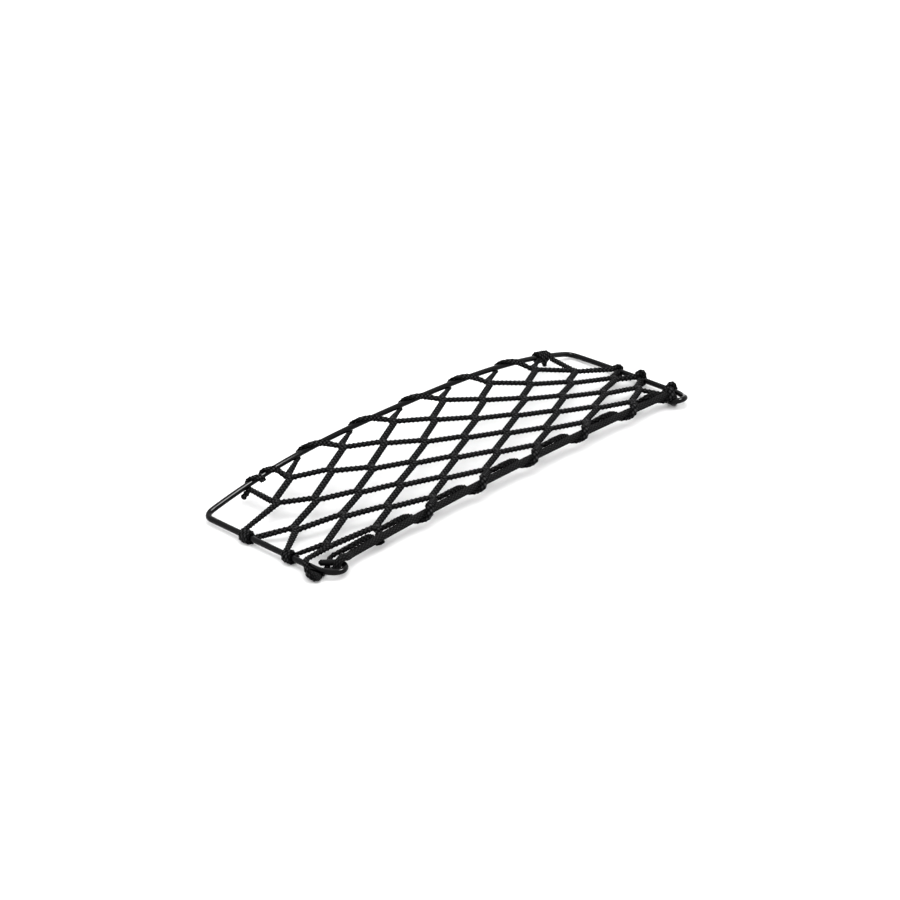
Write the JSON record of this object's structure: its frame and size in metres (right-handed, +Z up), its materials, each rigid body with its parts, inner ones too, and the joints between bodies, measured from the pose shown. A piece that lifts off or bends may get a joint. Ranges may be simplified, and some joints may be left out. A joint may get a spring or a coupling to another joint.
{
  "type": "elastic cargo net on a wire frame",
  "caption": "Diamond-mesh net of elastic cord laced to a bent wire frame, with a thick elastic edge along its open side.",
  "frame": {"origin": "middle of the part's footprint, on the surface that it lies on", "axes": "+X along the long side, +Y from the elastic edge towards the far wire, +Z up"},
  "size_m": [0.415, 0.1408, 0.0323],
  "materials": {
    "wire_coating": "smooth glossy black coating on steel wire",
    "net_cord": "matte black braided cover on elastic cord",
    "edge_elastic": "matte dark grey woven cover on thick elastic"
  },
  "bodies": {
    "root": {"wire_frame": "wire_coating", "net": "net_cord", "edge_cord": "edge_elastic"}
  },
  "joints": []
}
